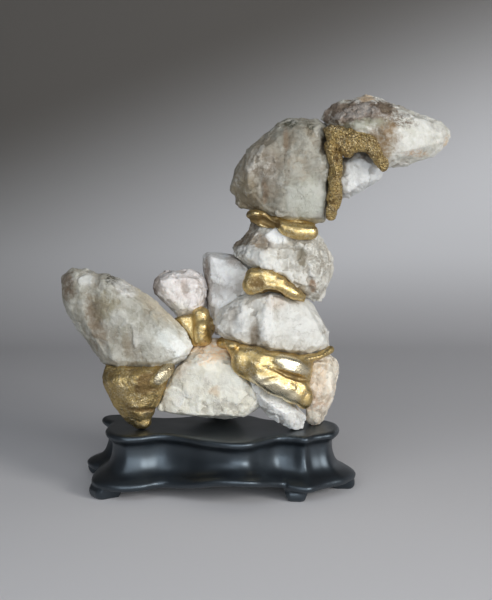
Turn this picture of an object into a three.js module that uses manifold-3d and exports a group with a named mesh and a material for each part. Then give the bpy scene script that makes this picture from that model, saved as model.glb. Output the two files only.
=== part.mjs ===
// A scholars rock: eleven broken quartz stones joined with gilded putty, on a lobed black lacquered stand.
// Millimetres, +Z up, the viewer at -Y. The origin ends up under the middle of the object, on the table.
import * as THREE from 'three';
import { ConvexGeometry } from 'three/addons/geometries/ConvexGeometry.js';
import { SimplexNoise } from 'three/addons/math/SimplexNoise.js';
import { TessellateModifier } from 'three/addons/modifiers/TessellateModifier.js';
import { mergeVertices } from 'three/addons/utils/BufferGeometryUtils.js';
import Module from 'manifold-3d';

const wasm = await Module();
wasm.setup();

// Driving dimensions.
const STAND_HEIGHT = 62;
const APRON_BOTTOM = 10;
const RING_STEPS = 56;
const FOOT_FLARE = 6;
const BELLY_ARCH = 12;
const FIT_GAP = 0.3;
const STONE_EDGE = 21;
const NOISE_SPAN = 24;
const FINE_NOISE_SPAN = 11;
const WELD_DISTANCE = 1e-3;

// Materials.
function material(color, roughness, metalness = 0) {
  return new THREE.MeshStandardMaterial({ color, roughness, metalness });
}
const quartz = (color) => material(color, 0.62);
const gilding = () => material('#b08a45', 0.34, 0.9);
const lacquer = () => material('#17171a', 0.3);

// Geometry helpers.
const vector = ([x, y, z]) => new THREE.Vector3(x, y, z);

function positionsOnly(geometry) {
  const bare = new THREE.BufferGeometry();
  bare.setAttribute('position', geometry.getAttribute('position'));
  if (geometry.index) bare.setIndex(geometry.index);
  return bare;
}

function welded(geometry) {
  return mergeVertices(positionsOnly(geometry), WELD_DISTANCE);
}

function toSolid(geometry) {
  const closed = welded(geometry);
  const vertProperties = Float32Array.from(closed.getAttribute('position').array);
  const triVerts = Uint32Array.from(closed.index.array);
  return new wasm.Manifold(new wasm.Mesh({ numProp: 3, vertProperties, triVerts }));
}

function toGeometry(solid) {
  const { vertProperties, triVerts } = solid.getMesh();
  const geometry = new THREE.BufferGeometry();
  geometry.setAttribute('position', new THREE.BufferAttribute(vertProperties, 3));
  geometry.setIndex(new THREE.BufferAttribute(triVerts, 1));
  return geometry;
}

// A cut can leave a crumb behind, so only the largest piece is kept.
function largestPiece(solid) {
  return solid.decompose().reduce((best, next) => (next.volume() > best.volume() ? next : best));
}

function seededNoise(seed) {
  let state = seed * 7919 + 1;
  const random = () => {
    state = (state * 16807) % 2147483647;
    return state / 2147483647;
  };
  return new SimplexNoise({ random });
}

function pointsOf(geometry) {
  const position = geometry.getAttribute('position');
  const pointAt = (_, i) => new THREE.Vector3().fromBufferAttribute(position, i);
  return Array.from({ length: position.count }, pointAt);
}

// How far a point lies from a straight groove, pit or ridge.
function distanceToLine(point, from, to) {
  const line = new THREE.Line3(vector(from), vector(to));
  return line.closestPointToPoint(point, true, new THREE.Vector3()).distanceTo(point);
}

// Moves every point along its outward normal by what amount(point) says.
function pushed(geometry, amount) {
  const moved = geometry.clone();
  moved.computeVertexNormals();
  const position = moved.getAttribute('position');
  const normal = moved.getAttribute('normal');
  for (let i = 0; i < position.count; i += 1) {
    const point = new THREE.Vector3().fromBufferAttribute(position, i);
    const along = new THREE.Vector3().fromBufferAttribute(normal, i);
    point.addScaledVector(along, amount(point));
    position.setXYZ(i, point.x, point.y, point.z);
  }
  return moved;
}

// Moves each point part of the way to the middle of its neighbours, which rounds the broken edges.
function rounded(geometry, share) {
  const position = geometry.getAttribute('position');
  const sums = Array.from({ length: position.count }, () => new THREE.Vector4(0, 0, 0, 0));
  const { array } = geometry.index;
  for (let corner = 0; corner < array.length; corner += 1) {
    const next = corner % 3 === 2 ? corner - 2 : corner + 1;
    const neighbour = new THREE.Vector3().fromBufferAttribute(position, array[next]);
    sums[array[corner]].add(new THREE.Vector4(neighbour.x, neighbour.y, neighbour.z, 1));
  }
  const smooth = geometry.clone();
  for (let i = 0; i < position.count; i += 1) {
    const { x, y, z, w } = sums[i];
    const middle = new THREE.Vector3(x / w, y / w, z / w);
    const point = new THREE.Vector3().fromBufferAttribute(position, i).lerp(middle, share);
    smooth.getAttribute('position').setXYZ(i, point.x, point.y, point.z);
  }
  return smooth;
}

// A broken lump: the hull of its corners, cut fine, its edges rounded, then grooved and roughened.
// Each groove is [from, to, width, depth]. A ridge has a depth below 0.
function lump({ corners, grooves = [], rough = 1.3, round = 0.2, edge = STONE_EDGE, seed }) {
  const noise = seededNoise(seed);
  const hull = positionsOnly(new ConvexGeometry(corners.map(vector)));
  const fine = rounded(welded(new TessellateModifier(edge, 14).modify(hull)), round);
  return pushed(fine, (point) => {
    const { x, y, z } = point;
    const broad = noise.noise3d(x / NOISE_SPAN, y / NOISE_SPAN, z / NOISE_SPAN);
    const small = noise.noise3d(x / FINE_NOISE_SPAN, y / FINE_NOISE_SPAN, z / FINE_NOISE_SPAN);
    const carved = grooves.reduce((depth, [from, to, width, deepest]) => {
      const away = distanceToLine(point, from, to) / width;
      return depth + deepest * Math.exp(-away * away);
    }, 0);
    return rough * (0.6 - 1.6 * Math.abs(broad) + 0.4 * small) - carved;
  });
}

// A pressed strand of putty: balls given as [x, y, z, radius x, radius y, radius z], joined one to the next.
function strand(balls, detail = 1) {
  const points = balls.map(([x, y, z, rx, ry, rz]) => {
    const ball = welded(new THREE.IcosahedronGeometry(1, detail)).scale(rx, ry, rz).translate(x, y, z);
    return pointsOf(ball);
  });
  const links = points.slice(1).map((ball, i) => toSolid(new ConvexGeometry([...points[i], ...ball])));
  return links.reduce((joined, link) => joined.add(link));
}

// Each stone keeps a grown copy of itself, so whatever is fitted later stays just clear of it.
const placed = [];

function fitted(solid) {
  const cut = placed.reduce((rest, { room }) => rest.subtract(room), solid);
  return largestPiece(cut);
}

function place(name, solid, look) {
  const geometry = toGeometry(fitted(solid));
  placed.push({ room: toSolid(pushed(welded(geometry), () => FIT_GAP)) });
  const mesh = new THREE.Mesh(geometry, look);
  mesh.name = name;
  return mesh;
}

// The stand: one carved piece. Its lip outline, seen from above, runs from the right end round the back.
const LIP_OUTLINE = [
  [85, -17], [83, 4], [72, 17], [58, 20], [42, 17], [28, 15], [12, 22], [-4, 39], [-26, 51], [-50, 46],
  [-68, 33], [-90, 27], [-114, 33], [-134, 42], [-150, 41], [-157, 30], [-153, 16], [-146, 5], [-147, -10],
  [-147, -26], [-141, -45], [-127, -58], [-110, -56], [-90, -47], [-68, -56], [-46, -76], [-22, -87],
  [-6, -82], [8, -64], [24, -52], [36, -55], [49, -60], [58, -52], [68, -46], [79, -38],
];

// Its profile as [distance out from the lip outline, height].
const STAND_PROFILE = [
  [-4, STAND_HEIGHT], [-0.8, STAND_HEIGHT - 1.6], [-0.3, 56], [-4.5, 53], [-7, 48], [-6.4, 38],
  [-3.4, 29], [0.8, 23.5], [7, 19.5], [11, 14], [9, APRON_BOTTOM],
];

// The middle of the front and back bellies.
const BELLIES = [[-22, -87], [-26, 51]];

// Feet as [x, y] under the lip outline, half the width along the side, and how far the toe reaches out.
const FEET = [
  { at: [-141, -46], half: 14, toe: 18 },
  { at: [41, -56], half: 12, toe: 12 },
  { at: [85, -17], half: 10, toe: 15 },
  { at: [38, 17], half: 12, toe: 12 },
  { at: [-154, 36], half: 14, toe: 16 },
];

function lipRing() {
  const points = LIP_OUTLINE.map(([x, y]) => new THREE.Vector3(x, y, 0));
  const curve = new THREE.CatmullRomCurve3(points, true, 'centripetal');
  const ring = curve.getSpacedPoints(RING_STEPS).slice(0, RING_STEPS);
  const reach = 2;
  return ring.map((point, i) => {
    const ahead = ring[(i + reach) % RING_STEPS];
    const behind = ring[(i - reach + RING_STEPS) % RING_STEPS];
    const along = ahead.clone().sub(behind).normalize();
    return { point, along, out: new THREE.Vector3(along.y, -along.x, 0) };
  });
}

// Near a foot the lower moulding swells outwards.
function flareAt({ point }, height) {
  const low = THREE.MathUtils.smoothstep(26 - height, 0, 12);
  return FEET.reduce((flare, { at, half }) => {
    const away = Math.hypot(point.x - at[0], point.y - at[1]) / (1.6 * half);
    return flare + FOOT_FLARE * low * Math.exp(-away * away);
  }, 0);
}

// Under each belly the lower edge rises in a shallow arch.
function archAt({ point }, height) {
  const low = THREE.MathUtils.smoothstep(50 - height, 0, 40);
  return BELLIES.reduce((arch, [x, y]) => {
    const away = Math.hypot(point.x - x, 0.7 * (point.y - y)) / 38;
    return arch + BELLY_ARCH * low * Math.exp(-away * away);
  }, 0);
}

function standBody(ring) {
  const rows = STAND_PROFILE.map(([distance, height]) => ring.map((station) => {
    const out = distance + flareAt(station, height);
    return station.point.clone().addScaledVector(station.out, out).setZ(height + archAt(station, height));
  }));
  const positions = rows.flat().flatMap((point) => point.toArray());
  const faces = [];
  for (let row = 0; row + 1 < rows.length; row += 1) {
    for (let i = 0; i < RING_STEPS; i += 1) {
      const [a, b] = [row * RING_STEPS + i, row * RING_STEPS + (i + 1) % RING_STEPS];
      const [c, d] = [a + RING_STEPS, b + RING_STEPS];
      faces.push(a, d, b, a, c, d);
    }
  }
  const flat = (row) => row.map(({ x, y }) => new THREE.Vector2(x, y));
  const last = (rows.length - 1) * RING_STEPS;
  const lid = THREE.ShapeUtils.triangulateShape(flat(rows[0]), []);
  const floor = THREE.ShapeUtils.triangulateShape(flat(rows.at(-1)), []);
  lid.forEach(([a, b, c]) => faces.push(a, b, c));
  floor.forEach(([a, b, c]) => faces.push(last + a, last + c, last + b));
  const geometry = new THREE.BufferGeometry();
  geometry.setAttribute('position', new THREE.Float32BufferAttribute(positions, 3));
  geometry.setIndex(faces);
  return toSolid(geometry);
}

// A short bracket foot, wider at the top, with its toe curling outwards.
function bracketFoot(ring, { at, half, toe }) {
  const nearest = (station) => Math.hypot(station.point.x - at[0], station.point.y - at[1]);
  const { point, along, out } = ring.reduce((best, next) => (nearest(next) < nearest(best) ? next : best));
  const rows = [
    { height: 15, wide: half, inner: -10, outer: toe - 4 },
    { height: 8, wide: half - 1, inner: -8, outer: toe + 1 },
    { height: 3, wide: half - 3, inner: -6, outer: toe + 1 },
    { height: 0, wide: half - 4, inner: -5, outer: toe - 2 },
  ];
  const corners = rows.flatMap(({ height, wide, inner, outer }) => [-1, -0.6, 0.6, 1].flatMap((side) => {
    const reach = Math.abs(side) === 1 ? outer - 3 : outer;
    return [inner, reach].map((distance) => point.clone()
      .addScaledVector(along, side * wide).addScaledVector(out, distance).setZ(height));
  }));
  return toSolid(new ConvexGeometry(corners));
}

function stand() {
  const ring = lipRing();
  return FEET.reduce((body, foot) => body.add(bracketFoot(ring, foot)), standBody(ring));
}

// The stones, each by the corners of its broken faces, front outline first.
const leaningStone = () => lump({
  seed: 1,
  rough: 1.6,
  corners: [
    [-192, -12, 215], [-195, -12, 200], [-192, -10, 184], [-164, -12, 139], [-152, -12, 124],
    [-137, -12, 114], [-105, -12, 114], [-83, -14, 121], [-68, -18, 129], [-58, -20, 143],
    [-64, -16, 153], [-78, -12, 170], [-96, -12, 187], [-116, -12, 202], [-141, -12, 214],
    [-155, -12, 219], [-169, -12, 222], [-184, -12, 221], [-178, -30, 207], [-150, -38, 214],
    [-128, -43, 202], [-111, -45, 188], [-96, -44, 171], [-82, -42, 156], [-68, -34, 146],
    [-75, -36, 134], [-102, -40, 128], [-134, -38, 128], [-154, -34, 144], [-170, -36, 172],
    [-182, 12, 202], [-152, 18, 200], [-117, 20, 174], [-81, 12, 145], [-107, 12, 122], [-153, 14, 132],
  ],
  grooves: [
    [[-160, -40, 216], [-160, -44, 150], 9, 4],
    [[-178, -36, 190], [-140, -42, 130], 8, 2.5],
    [[-126, -46, 150], [-122, -44, 128], 8, 3.5],
    [[-158, 0, 222], [-150, -20, 220], 7, 3],
  ],
});

const broadStone = () => lump({
  seed: 2,
  rough: 1.4,
  corners: [
    [-19, -14, 192], [-3, -10, 195], [15, -8, 200], [30, -8, 195], [54, -6, 191], [64, -6, 172],
    [75, -6, 154], [76, -8, 142], [70, -10, 135], [45, -12, 131], [15, -12, 133], [-10, -14, 139],
    [-29, -16, 149], [-39, -22, 155], [-41, -22, 168], [-35, -22, 180], [-28, -18, 187], [-9, -36, 188],
    [10, -38, 197], [8, -47, 173], [11, -48, 156], [17, -44, 144], [45, -34, 187], [61, -32, 167],
    [68, -28, 149], [43, -36, 140], [-32, -36, 179], [-38, -36, 164], [-24, -42, 156], [-5, -42, 147],
    [-3, 20, 179], [46, 30, 177], [69, 26, 148], [47, 28, 130], [-3, 20, 136],
  ],
  grooves: [
    [[-3, -44, 182], [0, -48, 142], 7, 7],
    [[-20, -42, 178], [-16, -44, 146], 6, 3.5],
    [[-34, -36, 176], [-28, -42, 152], 5, 2.5],
    [[46, 30, 192], [20, 26, 150], 9, 4],
  ],
});

const middleStone = () => lump({
  seed: 3,
  rough: 1.6,
  corners: [
    [-6, -2, 268], [9, -2, 270], [44, -2, 260], [64, -2, 256], [71, -2, 244], [78, -4, 232],
    [78, -4, 221], [73, -4, 205], [70, -4, 192], [65, -6, 183], [55, -8, 186], [34, -8, 203],
    [10, -8, 215], [-12, -8, 225], [-23, -6, 234], [-21, -4, 245], [-14, -4, 258], [-11, -32, 232],
    [-1, -40, 241], [24, -46, 238], [48, -42, 240], [65, -36, 228], [63, -34, 203], [43, -40, 206],
    [12, -43, 224], [7, -22, 261], [24, -30, 254], [54, -30, 251], [-5, 24, 254], [46, 30, 247],
    [69, 28, 229], [64, 24, 194], [28, 28, 208], [-9, 20, 234],
  ],
  grooves: [
    [[-6, -30, 256], [2, -36, 246], 8, 5],
    [[6, -36, 244], [34, -44, 240], 6, 4],
    [[30, -44, 236], [46, -42, 214], 7, 3],
    [[20, 28, 250], [40, 30, 210], 9, 4],
  ],
});

const shoulderStone = () => lump({
  seed: 4,
  rough: 1.4,
  corners: [
    [27, -4, 366], [44, -4, 368], [61, -4, 367], [70, -4, 363], [75, -4, 355], [74, -4, 336],
    [73, -4, 287], [71, -4, 264], [58, -6, 262], [29, -6, 266], [17, -6, 268], [3, -4, 275],
    [-21, -4, 281], [-24, -4, 297], [-22, -4, 312], [-15, -4, 327], [-2, -4, 344], [12, -4, 351],
    [20, -4, 361], [29, -28, 356], [59, -27, 358], [68, -27, 344], [69, -34, 312], [67, -31, 270],
    [22, -31, 272], [33, -40, 307], [8, -33, 336], [-8, -28, 320], [-7, -27, 301], [4, -27, 283],
    [31, 22, 358], [66, 22, 356], [71, 24, 271], [20, 24, 274], [-15, 18, 286], [-15, 18, 314],
    [7, 20, 340],
  ],
  grooves: [
    [[74, -30, 348], [68, -34, 338], 7, 5],
    [[20, -36, 346], [2, -34, 300], 7, 2.5],
    [[16, -32, 300], [34, -40, 316], 6, -1.5],
    [[40, 26, 350], [10, 24, 290], 9, 4],
  ],
});

const slabStone = () => lump({
  seed: 5,
  rough: 1,
  corners: [
    [-45, 8, 232], [-33, 8, 234], [-21, 8, 233], [-9, 8, 222], [-4, 10, 201], [-3, 12, 175],
    [-15, 10, 153], [-41, 6, 150], [-47, 8, 168], [-51, 8, 186], [-49, 8, 202], [-49, 8, 217],
    [-42, -9, 231], [-36, -15, 212], [-37, -15, 193], [-43, -11, 173], [-41, -12, 154], [-23, -10, 231],
    [-12, -12, 220], [-11, -16, 189], [-23, -14, 159], [-42, 34, 222], [-15, 34, 218], [-9, 34, 183],
    [-42, 34, 157],
  ],
  grooves: [[[-30, 36, 220], [-26, 36, 165], 9, 3]],
});

const smallStone = () => lump({
  seed: 6,
  rough: 1.4,
  corners: [
    [-105, 8, 205], [-100, 8, 213], [-88, 8, 216], [-74, 8, 218], [-59, 8, 216], [-50, 8, 209],
    [-46, 8, 198], [-48, 8, 185], [-52, 8, 174], [-58, 8, 165], [-76, 8, 165], [-91, 8, 180],
    [-104, 8, 194], [-94, -14, 209], [-78, -16, 213], [-59, -14, 210], [-53, -14, 197], [-57, -14, 180],
    [-76, -14, 181], [-92, -12, 194], [-94, 30, 202], [-66, 32, 206], [-55, 30, 188], [-69, 28, 169],
    [-89, 28, 181],
  ],
  grooves: [
    [[-76, -18, 208], [-64, -18, 192], 6, 3],
    [[-80, 34, 210], [-72, 34, 176], 8, 3],
  ],
});

const crestStone = () => lump({
  seed: 7,
  rough: 1.5,
  corners: [
    [61, -4, 366], [71, -4, 378], [83, -4, 385], [96, -4, 387], [110, -4, 389], [129, -4, 384],
    [147, -4, 376], [170, -4, 367], [184, -4, 363], [192, -4, 356], [194, -4, 348], [188, -4, 339],
    [176, -4, 328], [158, -4, 325], [141, -6, 318], [131, -6, 316], [75, -20, 367], [90, -34, 360],
    [107, -39, 350], [126, -28, 326], [139, -41, 355], [119, -28, 376], [91, -22, 379], [144, -33, 335],
    [167, -24, 337], [178, -20, 353], [153, -28, 365], [90, 20, 377], [126, 28, 380], [165, 24, 364],
    [184, 12, 350], [155, 18, 330], [126, 24, 336], [95, 20, 356], [74, 10, 369],
  ],
  grooves: [
    [[128, -34, 374], [150, -34, 352], 7, 2.5],
    [[108, -40, 346], [132, -36, 320], 8, 4],
    [[100, 20, 384], [150, 26, 350], 9, 4],
    [[86, -26, 378], [104, -30, 368], 6, 2],
  ],
});

const chinStone = () => lump({
  seed: 8,
  rough: 1,
  corners: [
    [86, 0, 326], [98, 0, 339], [111, 0, 339], [123, 0, 325], [129, 0, 316], [127, 0, 309],
    [119, 0, 303], [108, 0, 299], [93, 0, 285], [87, 0, 287], [84, 0, 297], [84, 0, 314],
    [91, -19, 323], [105, -20, 328], [118, -18, 318], [111, -18, 306], [93, -17, 295], [87, -17, 305],
    [95, 20, 324], [113, 18, 326], [121, 16, 314], [97, 16, 298],
  ],
});

const baseStone = () => lump({
  seed: 9,
  rough: 1.3,
  corners: [
    [-59, -6, 145], [-42, -6, 150], [-31, -10, 148], [-17, -14, 130], [-2, -14, 110], [12, -20, 90],
    [-71, -36, 128], [-54, -41, 131], [-25, -43, 130], [-12, -44, 111], [8, -38, 93], [-98, -28, 80],
    [-76, -34, 80], [-54, -38, 80], [-36, -40, 76], [-23, -40, 76], [-9, -38, 77], [3, -34, 84],
    [-88, -32, 106], [-83, -24, 119], [-70, -18, 131], [-51, 24, 140], [-30, 26, 132], [-84, 10, 88],
    [-40, 25, 84], [-4, 16, 88], [-74, 16, 118], [-16, 24, 108], [-58, 24, 68], [-32, 32, 59],
    [-18, 24, 66],
  ],
  grooves: [
    [[-66, -38, 96], [-72, -36, 78], 6, 3],
    [[-44, -42, 96], [-48, -40, 76], 5, 2],
    [[-20, -46, 122], [-44, -44, 104], 8, 1.5],
    [[-60, 22, 130], [-30, 28, 92], 10, 4],
  ],
});

const heelStone = () => lump({
  seed: 10,
  rough: 1.2,
  edge: 16,
  corners: [
    [57, -2, 131], [65, -2, 134], [75, 0, 135], [83, 0, 127], [85, 0, 119], [84, 0, 104], [82, 0, 94],
    [74, -2, 80], [71, -6, 71], [67, -8, 60], [56, -10, 59], [50, -12, 63], [57, -26, 129],
    [75, -22, 128], [77, -24, 104], [67, -26, 86], [62, -20, 68], [52, -22, 76], [50, -26, 105],
    [57, 26, 119], [77, 26, 119], [78, 26, 92], [70, 18, 68], [60, 14, 60],
  ],
  grooves: [[[84, -16, 100], [58, -26, 94], 5, 2]],
});

const sliverStone = () => lump({
  seed: 11,
  rough: 0.8,
  edge: 16,
  corners: [
    [-15, -34, 116], [-5, -40, 113], [7, -48, 96], [4, -38, 85], [19, -48, 87], [34, -45, 78],
    [13, -36, 76], [27, -34, 67], [42, -36, 60], [50, -30, 60], [51, -28, 74], [44, -34, 84],
    [24, -38, 96], [-5, -12, 110], [30, -10, 93], [47, -10, 75], [45, -14, 60], [7, -10, 85],
  ],
});

// The gilded putty, pressed in between the stones: what shows as strands and lumps, and what fills the joint.
const filling = (corners) => toSolid(new ConvexGeometry(corners.map(vector)));

const goldFoot = () => toSolid(lump({
  seed: 12,
  rough: 1.2,
  edge: 17,
  corners: [
    [-152, -26, 116], [-151, -28, 107], [-146, -28, 97], [-141, -28, 85], [-134, -28, 76],
    [-125, -28, 69], [-118, -30, 61], [-110, -30, 60], [-104, -30, 67], [-101, -28, 80], [-93, -28, 92],
    [-87, -28, 103], [-83, -28, 114], [-79, -26, 127], [-105, -20, 132], [-148, -20, 128],
    [-140, -42, 114], [-112, -50, 120], [-88, -44, 122], [-112, -47, 98], [-118, -42, 84],
    [-113, -37, 70], [-138, -4, 118], [-112, 4, 122], [-90, -4, 120], [-113, -8, 92], [-113, -20, 70],
  ],
  grooves: [[[-128, -46, 98], [-100, -48, 94], 6, 2]],
}));

const goldSaddle = () => strand([
  [-54, -10, 174, 9, 10, 8], [-52, -14, 160, 8, 11, 8], [-52, -12, 148, 10, 12, 6],
]).add(filling([
  [-82, -8, 168], [-74, -14, 172], [-60, -14, 172], [-58, -16, 150], [-64, -18, 142], [-80, 10, 168],
  [-44, 12, 176], [-44, 14, 144], [-66, 14, 142], [-44, -10, 146],
])).add(strand([[-78, 18, 164, 8, 7, 7], [-52, 22, 150, 9, 9, 9]], 0));

const goldRoll = () => strand([
  [-4, -36, 206, 9, 9, 10], [8, -39, 208, 6, 8, 7], [26, -39, 205, 6, 8, 6], [37, -37, 198, 7, 8, 6],
  [44, -33, 195, 4, 7, 4],
]).add(filling([
  [-8, -30, 214], [10, -34, 217], [30, -34, 207], [50, -26, 195], [-8, -30, 200], [20, -34, 196],
  [48, -26, 188], [-6, 16, 216], [30, 18, 210], [50, 16, 196], [-6, 16, 198], [20, 18, 194],
  [48, 16, 186],
])).add(strand([[-2, 22, 212, 8, 8, 9], [22, 27, 205, 7, 6, 7], [48, 22, 192, 8, 8, 7]], 0));

const goldNeck = () => strand([
  [-4, -22, 273, 5, 7, 5], [8, -25, 272, 5, 6, 4.5], [20, -29, 266, 3, 5, 3], [29, -31, 261, 7, 8, 6.5],
  [40, -34, 257.5, 9, 9, 8], [53, -32, 257, 8, 8, 8],
]).add(filling([
  [-6, -20, 278], [12, -24, 276], [58, -28, 265], [-6, -20, 266], [20, -26, 256], [58, -28, 250],
  [-6, 16, 276], [58, 20, 265], [-4, 16, 264], [30, 20, 254], [58, 20, 250],
])).add(strand([[4, 19, 271, 8, 7, 6], [30, 25, 263, 7, 6, 5], [52, 24, 257, 9, 8, 7]], 0));

const goldSeam = () => strand([
  [71, -27, 339, 5, 7, 5], [75, -29, 326, 5, 8, 6], [77, -30, 292, 7, 8, 7], [73, -27, 272, 4, 5, 4],
]).add(strand([
  [72, -29, 352, 5, 8, 8], [84, -32, 343, 10, 9, 11], [107, -35, 343, 8, 8, 8], [116, -33, 331, 5, 6, 6],
  [123, -29, 320, 4.5, 6, 4.5],
])).add(filling([
  [66, -24, 356], [80, -26, 358], [106, -26, 352], [110, -24, 340], [88, -20, 336], [72, -22, 334],
  [68, 16, 356], [106, 18, 350], [112, 14, 338], [72, 18, 334],
])).add(filling([
  [70, -22, 338], [84, -20, 338], [84, -14, 300], [80, -16, 282], [72, -20, 280], [70, 18, 338],
  [86, 14, 334], [84, 12, 300], [80, 12, 288], [72, 14, 286],
])).add(strand([[76, 18, 346, 8, 8, 9], [78, 16, 318, 7, 7, 7], [77, 15, 290, 6, 6, 6]], 0));

const goldBelt = () => toSolid(lump({
  seed: 17,
  rough: 0.9,
  edge: 17,
  corners: [
    [-33, -36, 153], [-12, -45, 145], [8, -52, 141], [30, -50, 137], [48, -42, 134], [57, -30, 130],
    [54, -38, 112], [51, -38, 98], [50, -34, 88], [36, -48, 94], [18, -52, 104], [2, -54, 115],
    [-11, -50, 122], [-23, -42, 136], [0, -58, 131], [20, -60, 123], [38, -56, 108], [-22, 14, 148],
    [54, 16, 134], [54, 14, 94], [26, 12, 96], [-2, 14, 112],
  ],
  grooves: [[[6, -58, 134], [24, -58, 127], 5, 4], [[24, -58, 127], [52, -46, 113], 5, 4]],
})).add(strand([[44, -34, 133, 7, 7, 4], [62, -24, 134, 5, 6, 3], [75, -12, 139, 4, 5, 4]]));

// The object, placed in the order in which each piece is fitted to those before it.
const rock = new THREE.Group();
rock.add(
  place('stand', stand(), lacquer()),
  place('leaning_stone', toSolid(leaningStone()), quartz('#d3d1c8')),
  place('broad_stone', toSolid(broadStone()), quartz('#dcdad6')),
  place('middle_stone', toSolid(middleStone()), quartz('#d8d5cd')),
  place('shoulder_stone', toSolid(shoulderStone()), quartz('#c9c8bd')),
  place('slab_stone', toSolid(slabStone()), quartz('#d6d5d2')),
  place('small_stone', toSolid(smallStone()), quartz('#d9d3cd')),
  place('crest_stone', toSolid(crestStone()), quartz('#d5d0c4')),
  place('chin_stone', toSolid(chinStone()), quartz('#dad8d9')),
  place('base_stone', toSolid(baseStone()), quartz('#ddd8cc')),
  place('heel_stone', toSolid(heelStone()), quartz('#e2d8ca')),
  place('sliver_stone', toSolid(sliverStone()), quartz('#d9dadb')),
  place('gold_foot', goldFoot(), gilding()),
  place('gold_saddle', goldSaddle(), gilding()),
  place('gold_roll', goldRoll(), gilding()),
  place('gold_neck', goldNeck(), gilding()),
  place('gold_seam', goldSeam(), gilding()),
  place('gold_belt', goldBelt(), gilding()),
);

// The whole is moved so that the origin is under its middle, at the soles of the feet.
const bounds = new THREE.Box3().setFromObject(rock);
const middle = bounds.getCenter(new THREE.Vector3());
rock.position.set(-middle.x, -middle.y, -bounds.min.z);

export default rock;
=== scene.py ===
import math

import bpy
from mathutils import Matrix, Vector


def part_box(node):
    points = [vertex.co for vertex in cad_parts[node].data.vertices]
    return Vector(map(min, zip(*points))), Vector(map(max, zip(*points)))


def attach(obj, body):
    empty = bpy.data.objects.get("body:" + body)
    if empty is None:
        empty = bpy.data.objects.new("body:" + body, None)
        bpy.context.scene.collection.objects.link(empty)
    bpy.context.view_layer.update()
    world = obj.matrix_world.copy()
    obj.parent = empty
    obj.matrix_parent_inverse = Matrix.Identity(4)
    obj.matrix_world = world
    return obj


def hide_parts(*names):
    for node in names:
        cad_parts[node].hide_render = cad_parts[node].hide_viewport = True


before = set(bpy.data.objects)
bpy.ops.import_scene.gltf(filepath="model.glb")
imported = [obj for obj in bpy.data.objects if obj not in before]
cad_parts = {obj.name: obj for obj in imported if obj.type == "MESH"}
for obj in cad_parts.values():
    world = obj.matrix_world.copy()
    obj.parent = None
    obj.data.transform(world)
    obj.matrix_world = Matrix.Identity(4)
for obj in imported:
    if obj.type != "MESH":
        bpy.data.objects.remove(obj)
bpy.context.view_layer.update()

# The camera: a long lens a little over a metre in front, at the height of the shoulder stone. It looks seven
# degrees down at the rock's middle, so that the top of the stand shows as a thin band.
CAMERA_PLACE = (-0.00833, -1.12373, 0.32715)
CAMERA_DROP = math.radians(7)
LENS_MM = 69.0
SENSOR_MM = 36.0

bpy.ops.object.select_all(action="DESELECT")
bpy.ops.object.camera_add(location=CAMERA_PLACE, rotation=(math.radians(90) - CAMERA_DROP, 0, 0))
camera = bpy.context.object
camera.data.lens = LENS_MM
camera.data.sensor_width = SENSOR_MM
bpy.context.scene.camera = camera


# The stones: eleven broken pieces of white vein quartz, as split from the rock, not ground or polished. Each
# skin is a patchwork of small broken faces, every one tilted its own way, over the stone's large form.
PER_METRE = 1000.0  # millimetres in a metre; marks, stains and lumps of putty are given in millimetres
BLOCK_GRID = 0.0018  # the side of the squares of a block's skin before its faces are struck
GRID = 0.0011  # the same for a finished stone
FINE_GRID = 0.0009  # and for the small stones and the putty
WELD = 0.00001  # corners nearer than this are one corner
MARK_DEPTH = 0.15  # half the depth of a mark, which takes it through any piece
MARK_RIM = (0.45, 1.15)  # where a mark starts to fade and where it has gone, as shares of its half size
HALF = (0.5, 0.5, 0.5)  # the middle of a noise's colour


class Knot:
    """One socket of a node tree, used in sums as if it were a number, a colour or a direction."""

    def __init__(self, nodes, socket):
        self.nodes, self.socket = nodes, socket

    def maths(self, operation, first, second):
        sides = {0: first, 1: second}
        if is_vector(first) or is_vector(second):
            if operation == "MULTIPLY" and not (is_vector(first) and is_vector(second)):
                arrow, size = (first, second) if is_vector(first) else (second, first)
                operation, sides = "SCALE", {0: arrow, "Scale": size}
            return self.nodes.add("ShaderNodeVectorMath", {"operation": operation}, sides)
        return self.nodes.add("ShaderNodeMath", {"operation": operation}, sides)

    def __add__(self, other):
        return self.maths("ADD", self, other)

    def __sub__(self, other):
        return self.maths("SUBTRACT", self, other)

    def __rsub__(self, other):
        return self.maths("SUBTRACT", other, self)

    def __mul__(self, other):
        return self.maths("MULTIPLY", self, other)

    def __truediv__(self, other):
        return self.maths("DIVIDE", self, other)

    def __abs__(self):
        return self.nodes.add("ShaderNodeMath", {"operation": "ABSOLUTE"}, {0: self})

    __radd__ = __add__
    __rmul__ = __mul__

    def output(self, name):
        """Another output of the same node."""
        return Knot(self.nodes, self.socket.node.outputs[name])

    def between(self, low, high):
        """0 where this is at or before low, 1 at or past high, and a soft step in between."""
        return self.nodes.add("ShaderNodeMapRange", {"interpolation_type": "SMOOTHSTEP"},
                              {"Value": self, "From Min": low, "From Max": high})


def is_vector(side):
    return isinstance(side, tuple) or isinstance(side, Knot) and side.socket.type in ("VECTOR", "RGBA")


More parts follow.
